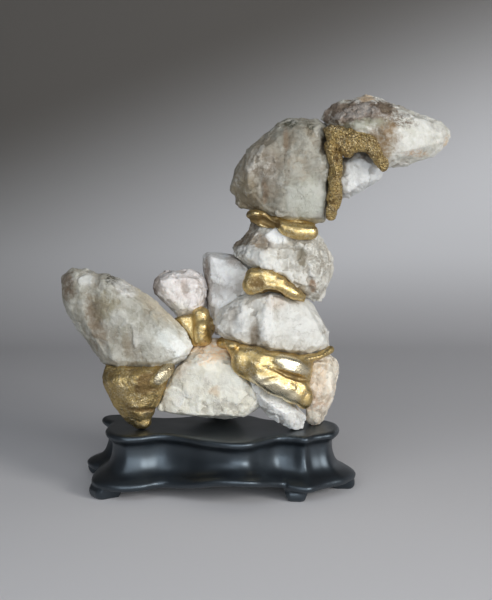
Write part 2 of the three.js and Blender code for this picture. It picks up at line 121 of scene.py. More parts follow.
class Nodes:
    """A node tree that is written as expressions."""

    def __init__(self, tree):
        self.tree = tree

    def add(self, kind, settings=None, sockets=None, out=0):
        """A node of that type, with its settings made first, then the values or links of its sockets."""
        node = self.tree.nodes.new(kind)
        for name, value in (settings or {}).items():
            setattr(node, name, value)
        for name, value in (sockets or {}).items():
            if isinstance(value, Knot):
                self.tree.links.new(value.socket, node.inputs[name])
            else:
                node.inputs[name].default_value = value
        return Knot(self, node.outputs[out])

    def noise(self, place, span, detail=2.0, rough=0.5):
        """Soft noise from 0 to 1 whose lumps are about span across."""
        return self.add("ShaderNodeTexNoise", {},
                        {"Vector": place, "Scale": 1 / span, "Detail": detail, "Roughness": rough})

    def uneven(self, place, span, reach):
        """A place pushed about by noise, by up to half of reach, so that cells on it have uneven edges."""
        return place + (self.noise(place, span, 3).output("Color") - HALF) * reach

    def cells(self, place, span):
        """Cells about span across: the distance to a cell's middle, with its colour and middle as outputs."""
        return self.add("ShaderNodeTexVoronoi", {}, {"Vector": place, "Scale": 1 / span})

    def flakes(self, place, span):
        """Cells about span across, each with a grey of its own."""
        return self.add("ShaderNodeRGBToBW", {}, {0: self.cells(place, span).output("Color")})

    def mix(self, share, first, second):
        """A colour between first, where share is 0, and second, where it is 1."""
        first, second = [side if isinstance(side, Knot) else (*side, 1) for side in (first, second)]
        return self.add("ShaderNodeMix", {"data_type": "RGBA"}, {0: share, 6: first, 7: second}, out=2)


def active(piece):
    """Selects a piece alone, for the operators that follow."""
    bpy.ops.object.select_all(action="DESELECT")
    bpy.context.view_layer.objects.active = piece
    piece.select_set(True)


def apply_modifier(piece, kind, **settings):
    modifier = piece.modifiers.new(kind.lower(), kind)
    for name, value in settings.items():
        setattr(modifier, name, value)
    active(piece)
    bpy.ops.object.modifier_apply(modifier=modifier.name)


def copy_of(node, name):
    """A welded copy of a CAD node's mesh, as a piece of its own."""
    piece = bpy.data.objects.new(name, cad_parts[node].data.copy())
    piece.data.name = name
    bpy.context.scene.collection.objects.link(piece)
    piece.data.materials.clear()
    active(piece)
    bpy.ops.object.mode_set(mode="EDIT")
    bpy.ops.mesh.select_all(action="SELECT")
    bpy.ops.mesh.remove_doubles(threshold=WELD)
    bpy.ops.object.mode_set(mode="OBJECT")
    return piece


def carve(piece, relief):
    """Moves a piece's skin along its normals by relief, in metres.

    The finishes read it again as the attribute relief, which is in millimetres.
    """
    tree = bpy.data.node_groups.new(piece.name, "GeometryNodeTree")
    tree.interface.new_socket("Geometry", in_out="INPUT", socket_type="NodeSocketGeometry")
    tree.interface.new_socket("Geometry", in_out="OUTPUT", socket_type="NodeSocketGeometry")
    nodes = Nodes(tree)
    skin = nodes.add("NodeGroupInput")
    height = relief(nodes, nodes.add("GeometryNodeInputPosition"))
    kept = nodes.add("GeometryNodeStoreNamedAttribute", {"data_type": "FLOAT", "domain": "POINT"},
                     {"Geometry": skin, "Name": "relief", "Value": height * PER_METRE})
    moved = nodes.add("GeometryNodeSetPosition", {},
                      {"Geometry": kept, "Offset": nodes.add("GeometryNodeInputNormal") * height})
    end = tree.nodes.new("NodeGroupOutput")
    tree.links.new(moved.socket, end.inputs[0])
    apply_modifier(piece, "NODES", node_group=tree)


def oval(nodes, place, x, z, wide, high, turn, ragged):
    """A mark: 1 inside an upright oval as seen from the front, falling softly to 0 at its ragged rim.

    x and z are its middle and wide and high its half sizes, in millimetres, and turn is in degrees.
    """
    upright = nodes.add("ShaderNodeVectorRotate", {"rotation_type": "Y_AXIS"},
                        {"Vector": place - (x / PER_METRE, 0, z / PER_METRE), "Angle": -math.radians(turn)})
    inside = upright / (wide / PER_METRE, MARK_DEPTH, high / PER_METRE)
    away = nodes.add("ShaderNodeVectorMath", {"operation": "LENGTH"}, {0: inside}, out="Value")
    return 1 - (away + ragged).between(*MARK_RIM)


def broken(chip, tilt, wave, grain, shift, calm=(), forms=()):
    """The relief of broken quartz.

    chip is the size of its larger broken faces and tilt their slope. wave is the height of its slow waves and
    grain that of its fine grain. calm lists the marks that split smooth, as (x, z, wide, high, turn). forms
    lists marks that are pushed out by their last number, in millimetres, or in where it is negative.
    """
    def relief(nodes, place):
        moved = place + shift
        bent = nodes.uneven(moved, 0.018, 0.014)
        ragged = (nodes.noise(moved, 0.008, 4, 0.6) - 0.5) * 1.3
        chips = (nodes.noise(moved, 0.0045, 4, 0.65) - 0.5) * (2.2 * grain)
        chips = chips + (nodes.noise(moved * (1, 1, 0.35), 0.0045, 3, 0.6) - 0.5) * (1.4 * grain)
        for size, slope in ((chip, tilt), (chip * 0.42, tilt * 1.1)):
            cell = nodes.cells(bent, size)
            lean = cell.output("Color") - HALF
            across = nodes.add("ShaderNodeVectorMath", {"operation": "DOT_PRODUCT"},
                               {0: bent - cell.output("Position"), 1: lean}, out="Value")
            chips = chips + across * (2.2 * slope)
        for mark in calm:
            chips = chips * (1 - oval(nodes, place, *mark, ragged * 0.4) * 0.75)
        height = chips + (nodes.noise(moved, 0.030, 3) - 0.5) * (2 * wave)
        for *mark, out in forms:
            height = height + oval(nodes, place, *mark, ragged) * (out / PER_METRE)
        return height
    return relief


def rugged(shift, depth):
    """The relief of a roughly split block, before its faces are struck flat."""
    def relief(nodes, place):
        moved = place + shift
        coarse = nodes.noise(moved, 0.024, 3, 0.6) - 0.5
        fine = nodes.noise(moved * (1, 1, 0.7), 0.008, 3, 0.6) - 0.5
        return coarse * (9.0 * depth) + fine * (7.0 * depth)
    return relief


def quarried(node, name, faces, depth, relief, grid=GRID):
    """A stone from its CAD form.

    The form is made uneven by depth, struck into so many flat faces with sharp edges, laid out anew in fine
    squares, and then given its small relief. A square counts as two faces until it is struck. The length of
    the name picks the noise that makes it uneven.
    """
    stone = copy_of(node, name)
    apply_modifier(stone, "REMESH", mode="VOXEL", voxel_size=BLOCK_GRID, use_smooth_shade=True)
    carve(stone, rugged(tuple(0.1 * len(name) + offset for offset in (0.3, 0.6, 0.2)), depth))
    apply_modifier(stone, "DECIMATE", ratio=faces / (2 * len(stone.data.polygons)))
    apply_modifier(stone, "REMESH", mode="VOXEL", voxel_size=grid, use_smooth_shade=True)
    apply_modifier(stone, "SMOOTH", factor=0.5, iterations=1)
    carve(stone, relief)
    bpy.ops.object.shade_smooth()
    return stone


def tone(red, green, blue):
    """A colour as read from a print, 0 to 255, made into the light that a surface gives back."""
    return tuple((value / 255 / 12.92) if value < 10.3 else ((value / 255 + 0.055) / 1.055) ** 2.4
                 for value in (red, green, blue))


def new_finish(name):
    """A material with its nodes, its Principled shader and its surface place, ready to be filled in."""
    material = bpy.data.materials.new(name)
    material.use_nodes = True
    nodes = Nodes(material.node_tree)
    shader = material.node_tree.nodes["Principled BSDF"]
    place = nodes.add("ShaderNodeTexCoord", out="Object")
    return material, nodes, shader, place


def feed(nodes, shader, **links):
    """Links or sets the shader's sockets, which are named with _ for a space."""
    for name, value in links.items():
        socket = shader.inputs[name.replace("_", " ")]
        if isinstance(value, Knot):
            nodes.tree.links.new(value.socket, socket)
        else:
            socket.default_value = value


def quartz(name, pale, ash, shift, stains=(), tinge=0.35, frost_and_highlight_share=0.4, specks=0.4, rough=1.0):
    """Broken quartz: clouds of pale and ash, a tinge of tan, stains, dirt with painted shade in the hollows,
    and frost with a painted highlight on the high spots.

    A stain is (x, z, wide, high, turn, colour, strength, speckle), a mark as oval takes it that runs through
    the stone. speckle is the size of its speckles in millimetres, or 0 where it has none. specks is how dark
    the small pits are, and rough how much the crystals stand out.
    """
    material, nodes, shader, place = new_finish(name)
    moved = place + shift
    clouds = nodes.noise(moved, 0.022, 6, 0.62)
    flecks = nodes.noise(moved, 0.0055, 5, 0.7)
    streaks = nodes.noise(moved * (1, 1, 0.35), 0.0045, 4, 0.65)
    ragged = nodes.noise(moved, 0.009, 5, 0.68) - 0.5
    relief = nodes.add("ShaderNodeAttribute", {"attribute_name": "relief"}, out="Fac")

    clouded = clouds + (flecks - 0.5) * 0.6 + (streaks - 0.5) * 0.3
    colour = nodes.mix(clouded.between(0.36, 0.68), pale, ash)
    earthy = nodes.noise(moved + (0.4, 0.7, 0.2), 0.017, 5, 0.7) + (streaks - 0.5) * 0.25
    colour = nodes.mix(earthy.between(0.50, 0.72) * tinge, colour, tone(176, 158, 130))
    for *mark, stain_tone, strength, speckle in stains:
        mask = oval(nodes, place, *mark, ragged * 2.0) * strength
        if speckle:
            mask = mask * nodes.noise(moved, speckle / PER_METRE, 3, 0.7).between(0.40, 0.56)
        else:
            mask = mask * (flecks + 0.1).between(0.2, 0.7)
        colour = nodes.mix(mask, colour, stain_tone)

    # dirt and painted shade: the hollows of the relief are darkened
    dirt_and_painted_shade = 1 - (relief + (flecks - 0.5) * 1.3).between(-1.1, 0.1)
    colour = nodes.mix(dirt_and_painted_shade * 0.45, colour, tone(120, 104, 82))
    # frost and a painted highlight: the high spots of the relief are whitened
    frost_and_painted_highlight = (relief + (flecks - 0.5) * 1.6).between(0.2, 1.0)
    colour = nodes.mix(frost_and_painted_highlight * frost_and_highlight_share, colour, tone(243, 242, 238))
    fold = abs(nodes.noise(moved, 0.026, 5, 0.6) - 0.5)
    veins = (1 - fold.between(0.003, 0.016)) * nodes.noise(moved, 0.014, 2).between(0.42, 0.58)
    colour = nodes.mix(veins * 0.2, colour, tone(112, 98, 80))
    pits = nodes.noise(moved, 0.0034, 2, 0.6).between(0.62, 0.72)
    pits = pits * nodes.noise(moved, 0.02, 2).between(0.4, 0.6)
    colour = nodes.mix(pits * specks, colour, tone(96, 84, 68))

    sugar = nodes.noise(moved, 0.0016, 3, 0.75)
    bent = nodes.uneven(moved, 0.003, 0.0025)
    crystals = nodes.flakes(bent, 0.0030) * 0.35 + nodes.flakes(bent * (1, 1, 0.6), 0.0075) * 0.55
    height = sugar * 0.5 + flecks * 0.6 + streaks * 0.3 - veins * 0.25 - pits * specks * 0.5
    height = height + crystals * rough
    feed(nodes, shader, Base_Color=colour,
         Roughness=0.5 + (flecks - 0.5) * 0.5 + dirt_and_painted_shade * 0.2,
         Normal=nodes.add("ShaderNodeBump", {}, {"Strength": 0.75, "Distance": 0.0014, "Height": height}))
    shader.inputs["Subsurface Weight"].default_value = 0.2
    shader.inputs["Subsurface Radius"].default_value = (0.006, 0.005, 0.004)
    shader.inputs["Subsurface Scale"].default_value = 1.0
    shader.inputs["IOR"].default_value = 1.54
    return material


def dress(piece, material, slot, *nodes):
    """Gives a piece its finish, hangs it under the root body and hides the CAD nodes it stands for."""
    piece.data.materials.append(material)
    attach(piece, "root")
    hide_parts(*nodes)


# The leaning stone: the long block of quartz that leans out to the left on the gold foot. Its front is one
# grey-green split face. A cream band of weathering and painted top light runs along its upper edge down to
# the point, which is whitened with painted light.
leaning = quarried("leaning_stone", "leaning_quartz", faces=260, depth=0.0005, relief=broken(
    chip=0.018, tilt=0.055, wave=0.0010, grain=0.0003, shift=(1.3, 0.2, 0.4),
    calm=[(-92, 158, 28, 22, 30)],
    forms=[(-154, 212, 5, 9, 8, -1.5), (-143, 206, 8, 9, 20, 0.8), (-150, 176, 12, 26, -24, -0.8),
           (-134, 174, 14, 12, 0, 1.0)]))
dress(leaning, quartz("leaning_quartz", pale=tone(195, 192, 180), ash=tone(163, 159, 144), stains=[
    (-155, 170, 10, 30, -14, tone(112, 88, 58), 0.7, 0),
    (-184, 204, 10, 20, 0, tone(104, 82, 60), 0.8, 0),
    (-144, 187, 15, 16, 20, tone(148, 138, 108), 0.7, 0),
    (-124, 150, 5, 16, 0, tone(140, 126, 98), 0.5, 0),
    (-118, 168, 30, 10, 30, tone(160, 154, 134), 0.4, 3),
    # the cream band along the upper edge: weathering, with painted top light
    (-101, 190, 62, 9, 40, tone(206, 195, 172), 0.8, 0),
    (-138, 210, 8, 5, 30, tone(66, 60, 48), 0.9, 3),
    (-163, 211, 14, 7, 0, tone(232, 232, 228), 0.5, 0),
    (-126, 202, 15, 6, 40, tone(230, 227, 220), 0.9, 0),
    # the next two whiten the lower right and the point with painted light
    (-84, 154, 20, 13, 30, tone(232, 234, 228), 0.8, 0),
    (-67, 143, 18, 16, 0, tone(244, 245, 240), 1.2, 0),
], shift=(0.3, 0.1, 0.7), rough=0.6, tinge=0.25, frost_and_highlight_share=0.25), "quartz", "leaning_stone")


# The small stone: a rounded lump of pinkish quartz, broken all over and brown down its left side. It is set
# on the gold saddle, behind the leaning stone.
def widen(piece, still, share):
    """Makes a piece wider by that share, while the place still, in x, stays where it is."""
    for corner in piece.data.vertices:
        corner.co.x += (corner.co.x - still) * share


small = quarried("small_stone", "small_quartz", faces=240, depth=0.0009, relief=broken(
    chip=0.012, tilt=0.09, wave=0.001, grain=0.0003, shift=(0.7, 1.1, 0.3),
    forms=[(-70, 203, 4, 12, -18, -0.6), (-85, 204, 9, 10, 0, 1.2)]))
widen(small, still=-0.103, share=0.03)
dress(small, quartz("small_quartz", pale=tone(243, 237, 233), ash=tone(226, 216, 210), stains=[
    (-69, 201, 4, 14, -18, tone(176, 146, 130), 0.4, 0),
    (-101, 198, 7, 22, 0, tone(112, 84, 64), 0.75, 0),
    (-87, 217, 14, 5, 0, tone(98, 92, 90), 0.7, 4),
    (-74, 178, 16, 11, 0, tone(228, 224, 212), 0.7, 0),
], shift=(0.9, 0.4, 0.2)), "quartz", "small_stone")

# The slab: a tall plate of white quartz, with a smooth split front and a brown left edge that is darkened
# further with painted shade. It stands on end behind the broad stone, and its top is square, with the left
# corner drawn out to a point.
SLAB_TOP = 0.205  # the height from which the slab is squared
SLAB_TOP_RISE = 0.020  # how much higher the squaring is full
SLAB_TOP_STILL = -0.028  # the place, in x, that stays where it is as the top is widened
SLAB_TOP_SHARE = 0.22  # how much wider the top gets
SLAB_CORNER = -0.030  # the place, in x, from which the left corner is drawn out
SLAB_CORNER_RUN = 0.018  # how much further left that is full
SLAB_CORNER_PULL = Vector((-0.003, 0, 0.005))
slab = quarried("slab_stone", "slab_quartz", faces=140, depth=0.0004, relief=broken(
    chip=0.022, tilt=0.05, wave=0.0008, grain=0.0002, shift=(2.1, 0.5, 0.8),
    forms=[(-43, 170, 2, 16, 8, -1.5)]))
widen(slab, still=-0.050, share=0.07)
for corner in slab.data.vertices:
    high = min(max((corner.co.z - SLAB_TOP) / SLAB_TOP_RISE, 0), 1)
    corner.co.x += (corner.co.x - SLAB_TOP_STILL) * SLAB_TOP_SHARE * high
    left = min(max((SLAB_CORNER - corner.co.x) / SLAB_CORNER_RUN, 0), 1) * high
    corner.co += SLAB_CORNER_PULL * left
dress(slab, quartz("slab_quartz", pale=tone(242, 241, 238), ash=tone(226, 224, 221), stains=[
    # the brown left edge, darkened further with painted shade
    (-48, 196, 5, 48, 0, tone(104, 78, 56), 0.75, 0),
    (-18, 228, 13, 8, 0, tone(128, 104, 82), 0.6, 0),
], shift=(0.2, 0.8, 0.5), specks=0.1, tinge=0.1, frost_and_highlight_share=0.7), "quartz", "slab_stone")

# The broad stone: the block of quartz that lies on the gold belt. It is parted by a ridge down its front,
# with upright lobes on the left, greyed partly by painted shade, and one large bright split face on the
# right.
broad = quarried("broad_stone", "broad_quartz", faces=320, depth=0.0007, relief=broken(
    chip=0.015, tilt=0.07, wave=0.0008, grain=0.0003, shift=(0.4, 2.2, 1.8),
    calm=[(46, 172, 30, 26, 0)],
    forms=[(-1, 157, 7, 18, 6, -1.6), (12, 172, 7, 26, 8, 1.8), (-14, 172, 8, 18, 14, 1.0),
           (-22, 168, 5, 18, 10, -0.7)]))
dress(broad, quartz("broad_quartz", pale=tone(228, 226, 218), ash=tone(206, 203, 194), stains=[
    # the grey of the left lobes: partly the stone's grey, partly painted shade
    (-14, 173, 24, 24, 0, tone(196, 194, 189), 0.5, 0),
    (0, 156, 4, 16, 4, tone(112, 96, 72), 0.75, 0),
    (20, 190, 12, 8, 0, tone(206, 184, 162), 0.6, 0),
    (8, 146, 14, 4, 0, tone(110, 96, 74), 0.7, 0),
    (46, 172, 28, 26, 0, tone(226, 225, 219), 0.6, 0),
], shift=(0.6, 0.2, 0.9)), "quartz", "broad_stone")

# The middle stone: a craggy block of quartz between the gold roll and the gold neck. A ledge hangs out at its
# lower front, and it is dark on its upper left side and bright where it was split last.
middle = quarried("middle_stone", "middle_quartz", faces=520, depth=0.0011, relief=broken(
    chip=0.012, tilt=0.13, wave=0.0012, grain=0.0005, shift=(3.1, 1.2, 0.6),
    forms=[(-13, 259, 15, 18, 10, -4.5), (8, 246, 8, 6, 0, -1.5), (24, 244, 24, 3, 8, -1.2),
           (4, 233, 26, 9, 25, 2.4), (22, 256, 12, 10, 0, 1.2), (45, 232, 4, 9, 0, -1.4),
           (54, 208, 4, 9, -10, -1.2)]))
dress(middle, quartz("middle_quartz", pale=tone(222, 219, 209), ash=tone(200, 196, 185), stains=[
    (-14, 257, 17, 25, 10, tone(78, 64, 50), 0.95, 0),
    (8, 248, 12, 9, 0, tone(172, 148, 122), 0.7, 0),
    (22, 256, 14, 15, 0, tone(240, 240, 237), 0.9, 0),
    (45, 233, 6, 10, 0, tone(112, 106, 80), 0.8, 0),
    (56, 206, 4, 9, -10, tone(150, 112, 80), 0.8, 0),
    (60, 232, 16, 22, 0, tone(120, 116, 104), 0.45, 2.6),
], shift=(0.1, 0.6, 0.3), specks=0.6, tinge=0.2), "quartz", "middle_stone")

# The shoulder stone: the largest of the upper half, a block of quartz that sits on the gold neck. Its left
# side is pinkish and broken small, its right side one smooth grey-green face, and moss-dark spots sit on its
# top edge.
MOSSY = tone(66, 66, 48)
shoulder = quarried("shoulder_stone", "shoulder_quartz", faces=520, depth=0.0007, relief=broken(
    chip=0.013, tilt=0.10, wave=0.0008, grain=0.0004, shift=(0.2, 0.9, 3.2),
    calm=[(48, 288, 30, 28, 0)],
    forms=[(32, 346, 6, 14, 4, -0.8), (69, 342, 5, 12, 20, -4.0), (14, 300, 30, 6, 50, -0.6),
           (48, 286, 26, 24, 0, 0.8)]))
dress(shoulder, quartz("shoulder_quartz", pale=tone(166, 162, 149), ash=tone(138, 134, 121), stains=[
    (4, 318, 30, 40, 20, tone(146, 133, 115), 0.6, 0),
    (7, 321, 20, 18, 30, tone(194, 187, 176), 0.6, 4),
    (-8, 290, 17, 26, 0, tone(134, 120, 92), 0.7, 0),
    (34, 361, 8, 5, 0, MOSSY, 0.95, 4),
    (53, 357, 5, 9, 0, MOSSY, 0.95, 4),
    (30, 346, 4, 14, 0, tone(124, 102, 78), 0.75, 0),
    (68, 340, 5, 12, 0, tone(60, 56, 44), 0.85, 0),
    (50, 288, 24, 25, 0, tone(172, 173, 158), 0.85, 0),
    (10, 296, 4, 12, 0, tone(128, 104, 78), 0.75, 0),
    (44, 266, 38, 5, 0, tone(206, 194, 160), 0.7, 0),
], shift=(0.5, 0.3, 0.1), frost_and_highlight_share=0.18), "quartz", "shoulder_stone")

# The chin stone: the small clean piece of white quartz under the crest, split into a few smooth faces. The
# gold seam holds it in the crook between the shoulder stone and the crest stone.
chin = quarried("chin_stone", "chin_quartz", faces=80, depth=0.0004, grid=FINE_GRID, relief=broken(
    chip=0.014, tilt=0.09, wave=0.0008, grain=0.0002, shift=(1.7, 0.1, 1.4),
    forms=[(96, 300, 12, 4, -30, 1.0)]))
widen(chin, still=0.129, share=0.08)
dress(chin, quartz("chin_quartz", pale=tone(212, 213, 211), ash=tone(199, 200, 200), shift=(0.8, 0.8, 0.8),
                   specks=0.05, tinge=0.1, rough=0.2), "quartz", "chin_stone")

# The crest stone: the long beak of quartz. A rough brown crust covers its upper left, a tan glassy patch lies
# behind the gold seam that holds it, and the right end is clean white with a few orange stains.
crest = quarried("crest_stone", "crest_quartz", faces=380, depth=0.0006, relief=broken(
    chip=0.013, tilt=0.09, wave=0.001, grain=0.0005, shift=(1.9, 2.9, 0.2),
    calm=[(162, 345, 38, 26, 10), (125, 342, 18, 20, 0)],
    forms=[(100, 372, 28, 7, -10, 1.2), (126, 376, 7, 6, 0, -1.4)]))
dress(crest, quartz("crest_quartz", pale=tone(220, 218, 210), ash=tone(202, 200, 188), stains=[
    (98, 371, 44, 15, -4, tone(134, 118, 104), 1.35, 0),
    (94, 371, 38, 13, -12, tone(84, 72, 60), 0.9, 3),
    (125, 377, 10, 8, 0, tone(66, 54, 44), 0.95, 4),
    (136, 365, 20, 9, 20, tone(118, 100, 84), 0.85, 3),
    (107, 386, 12, 5, 0, tone(200, 174, 142), 0.85, 0),
    (122, 344, 17, 24, 20, tone(134, 106, 66), 0.9, 0),
    (100, 359, 28, 6, -10, tone(170, 170, 150), 0.75, 0),
    (158, 332, 16, 4, 0, tone(190, 146, 98), 0.6, 3),
    (188, 343, 4, 9, 0, tone(200, 164, 120), 0.5, 3),
], shift=(0.4, 0.5, 0.6), specks=0.25, tinge=0.1, frost_and_highlight_share=0.15, rough=0.8), "quartz", "crest_stone")

# The base stone: the cream-coloured quartz that carries the middle of the rock. Its front is one low split
# face, with a speckled peach crust along the top that is lightened with painted light where the stones above
# shade it.
base = quarried("base_stone", "base_quartz", faces=260, depth=0.0005, relief=broken(
    chip=0.020, tilt=0.07, wave=0.0009, grain=0.0003, shift=(0.8, 3.3, 1.1),
    calm=[(-42, 112, 44, 22, 0)],
    forms=[(-42, 144, 26, 5, 0, 1.0), (-20, 84, 5, 9, -30, -0.8), (-50, 86, 5, 9, -24, -0.8)]))
dress(base, quartz("base_quartz", pale=tone(242, 239, 226), ash=tone(233, 228, 210), stains=[
    # the next two: the peach crust on top, lightened with painted light against the shade of the stones above
    (-43, 143, 34, 15, 0, tone(252, 230, 200), 0.85, 0),
    (-43, 144, 30, 15, 0, tone(255, 214, 170), 0.8, 4),
    (-72, 128, 11, 14, 0, tone(206, 182, 154), 0.55, 0),
    (-40, 103, 7, 6, 0, tone(216, 188, 152), 0.6, 0),
], shift=(0.7, 0.9, 0.4), specks=0.1, tinge=0.2, rough=0.5), "stained_quartz", "base_stone")

# The sliver: a thin wedge of white quartz, clouded with grey and left as it split. It runs from the base
# stone down to the stand, below the end of the gold belt.
sliver = quarried("sliver_stone", "sliver_quartz", faces=120, depth=0.0004, grid=FINE_GRID, relief=broken(
    chip=0.011, tilt=0.08, wave=0.0006, grain=0.0003, shift=(2.6, 0.6, 2.6)))
dress(sliver, quartz("sliver_quartz", pale=tone(242, 241, 237), ash=tone(222, 222, 216),
                     shift=(0.2, 0.2, 0.3)), "quartz", "sliver_stone")

# The heel stone: an upright block of peach-coloured quartz at the lower right, with rust in its cracks. It
# stands on the stand, and the gold belt holds it to its neighbours.
heel = quarried("heel_stone", "heel_quartz", faces=220, depth=0.0007, relief=broken(
    chip=0.012, tilt=0.10, wave=0.001, grain=0.0003, shift=(1.2, 1.6, 2.2),
    forms=[(66, 92, 9, 2.5, -20, -0.8), (60, 100, 2.5, 12, 10, -0.8)]))
dress(heel, quartz("heel_quartz", pale=tone(242, 234, 218), ash=tone(230, 214, 192), stains=[
    (66, 122, 10, 9, 0, tone(224, 190, 146), 0.55, 3),
    (61, 88, 14, 10, 0, tone(204, 164, 128), 0.6, 4),
    (60, 104, 16, 16, 0, tone(226, 200, 172), 0.5, 0),
], shift=(0.6, 0.6, 0.2), specks=0.2, tinge=0.15), "stained_quartz", "heel_stone")


# The joints: epoxy putty pressed in by hand between the stones and covered with gold leaf, which lies in
# fine wrinkles, shines where it was rubbed and stays dark where it wasn't.
SWELL = 0.0005  # how far smooth putty stands out past its CAD form


def pressed(wave, wrinkle, shift, creases=()):
    """The relief of hand-pressed putty.

    Soft waves have sharp wrinkles between them, and creases lists marks as the forms of broken quartz do.
    """
    def relief(nodes, place):
        moved = place + shift
        fold = abs(nodes.noise(moved, 0.010, 3) - 0.5)
        waves = (nodes.noise(moved, 0.014, 2) - 0.5) * (2 * wave)
        height = waves + fold.between(0, 0.1) * wrinkle + (SWELL - wrinkle)
        ragged = (nodes.noise(moved, 0.014, 1) - 0.5) * 0.5
        for *mark, out in creases:
            height = height + oval(nodes, place, *mark, ragged) * (out / PER_METRE)
        return height
    return relief


def grainy(shift):
    """The relief of putty with coarse grit worked into it."""
    def relief(nodes, place):
        moved = place + shift
        bent = nodes.uneven(moved, 0.004, 0.003)
        lumps = (nodes.noise(moved, 0.009, 4, 0.6) - 0.5) * 0.0045
        return lumps - nodes.cells(bent, 0.0024) * 0.0013 + 0.0012
    return relief


def modelled(node, name, relief, lumps=(), grid=FINE_GRID, soften=36):
    """A putty joint from its CAD form.

    Lumps of putty are pressed on, as (x, y, z, and half of the width, depth and height) in millimetres. Every
    edge is rubbed soft so many times, and then come the marks of the fingers.
    """
    joint = copy_of(node, name)
    for x, y, z, *halves in lumps:
        bpy.ops.mesh.primitive_uv_sphere_add(segments=20, ring_count=12, radius=1 / PER_METRE, scale=halves,
                                             location=(x / PER_METRE, y / PER_METRE, z / PER_METRE))
        bpy.context.view_layer.objects.active = joint
        joint.select_set(True)
        bpy.ops.object.join()
    apply_modifier(joint, "REMESH", mode="VOXEL", voxel_size=grid, use_smooth_shade=True)
    apply_modifier(joint, "SMOOTH", factor=0.5, iterations=soften)
    carve(joint, relief)
    bpy.ops.object.shade_smooth()
    return joint


def gilding(name, grit, worn, shift):
    """Gold leaf over putty: bright where it was rubbed, burnished with a painted highlight on its ridges,
    brown where size shows through.

    grit is how grainy it is and worn how much of the brown size shows in the hollows.
    """
    material, nodes, shader, place = new_finish(name)
    moved = place + shift
    relief = nodes.add("ShaderNodeAttribute", {"attribute_name": "relief"}, out="Fac")
    leaf = nodes.noise(moved, 0.008, 5, 0.65)
    wrinkle = nodes.noise(moved, 0.0018, 4, 0.72)
    grains = nodes.noise(moved, 0.0010, 2, 0.6)
    colour = nodes.mix(leaf.between(0.38, 0.62), tone(222, 196, 136), tone(190, 158, 94))
    rubbed = (wrinkle + (leaf - 0.5) * 0.8).between(0.44, 0.64)
    colour = nodes.mix(rubbed * 0.55, colour, tone(247, 234, 196))
    # the ridges are burnished and given a painted highlight of near-white leaf
    burnish_and_highlight = relief.between(1.0, 2.6)
    colour = nodes.mix(burnish_and_highlight * 0.7, colour, tone(252, 243, 216))
    hollow = (1 - (relief + (wrinkle - 0.5) * 1.2).between(-0.6, 0.5)) * worn
    colour = nodes.mix(hollow, colour, tone(94, 68, 32))
    colour = nodes.mix(grains.between(0.60, 0.36) * (0.8 * grit), colour, tone(92, 70, 36))
    height = wrinkle * 0.5 + leaf * 0.6 - nodes.cells(moved, 0.0016) * (1.6 * grit) + grains * (1.2 * grit)
    bump = {"Strength": 0.5 + 0.4 * grit, "Distance": 0.0010, "Height": height}
    feed(nodes, shader, Base_Color=colour, Metallic=1 - hollow * 0.4,
         Roughness=0.41 - rubbed * 0.14 - burnish_and_highlight * 0.07 + hollow * 0.22,
         Normal=nodes.add("ShaderNodeBump", {}, bump))
    return material


# The gold foot: a cone of putty under the leaning stone, pressed up round it in folds and drawn out below to
# a small nipple that reaches the stand. Its leaf is grainy, and worn brown in the hollows.
gold_foot = modelled("gold_foot", "gold_foot_leaf", soften=24, relief=pressed(
    wave=0.0012, wrinkle=0.0004, shift=(0.4, 0.1, 0.2),
    creases=[(-90, 118, 16, 7, -38, 3.0), (-105, 112, 10, 14, 40, -1.6), (-128, 104, 9, 16, -24, 1.0),
             (-112, 84, 17, 3, 4, -1.2)]),
    lumps=[(-111, -10, 76, 9.5, 9, 8), (-111, -10, 69, 9, 9, 6.5)])
dress(gold_foot, gilding("gold_foot_leaf", grit=0.4, worn=0.8, shift=(0.1, 0.4, 0.3)),
      "gilding", "gold_foot")

# The gold saddle: an upright roll of putty, pressed in between the leaning, small, slab and base stones. Its
# leaf is nearly whole, with little brown in it.
gold_saddle = modelled("gold_saddle", "gold_saddle_leaf",
                       relief=pressed(wave=0.0004, wrinkle=0.0002, shift=(0.9, 0.3, 0.5)),
                       lumps=[(-52, -1, 162, 7, 8, 8), (-53, -1, 159, 7, 8, 10),
                              (-53, -1, 153, 6.5, 8, 9), (-45, 12, 161, 6, 8, 10)])
dress(gold_saddle, gilding("gold_saddle_leaf", grit=0.1, worn=0.35, shift=(0.6, 0.2, 0.9)),
      "gilding", "gold_saddle")

# The gold roll: a curved roll of putty, squeezed out to the front under the middle stone. It is smooth, with
# a shallow dent in its left end and a deeper one under its middle.
gold_roll = modelled("gold_roll", "gold_roll_leaf", relief=pressed(
    wave=0.0004, wrinkle=0.0002, shift=(0.2, 0.7, 0.1),
    creases=[(1, 210, 11, 8, 10, -0.9), (18, 198, 11, 5, 18, -2.6)]),
    lumps=[(0, -17, 212, 10, 10, 11), (10, -17, 216, 10, 10, 9), (-1, -19, 203, 6, 8, 5),
           (16, -18, 214, 9, 9, 7), (23, -19, 210, 9, 9, 6), (32, -19, 203, 8, 8, 6),
           (37, -18, 199, 7, 7, 5), (41, -18, 196, 6, 7, 4.5)])
dress(gold_roll, gilding("gold_roll_leaf", grit=0.05, worn=0.85, shift=(0.8, 0.1, 0.4)),
      "gilding", "gold_roll")

# The gold neck: putty squeezed out between the shoulder and middle stones, as a bead on the left and a smooth
# pillow on the right, with a dent pressed in where they meet.
gold_neck = modelled("gold_neck", "gold_neck_leaf", relief=pressed(
    wave=0.0004, wrinkle=0.0002, shift=(0.3, 0.3, 0.6),
    creases=[(14, 267, 11, 7, 20, -3.8), (1, 268, 9, 5, 10, -1.5)]),
    lumps=[(1, -10, 275, 7, 8, 3.2), (27, -13, 263, 6, 7, 5), (37, -15, 259, 13, 8, 7),
           (45, -15, 258, 12, 8, 7), (52, -14, 258, 8, 8, 6.5)])
dress(gold_neck, gilding("gold_neck_leaf", grit=0.05, worn=0.7, shift=(0.5, 0.9, 0.2)),
      "gilding", "gold_neck")

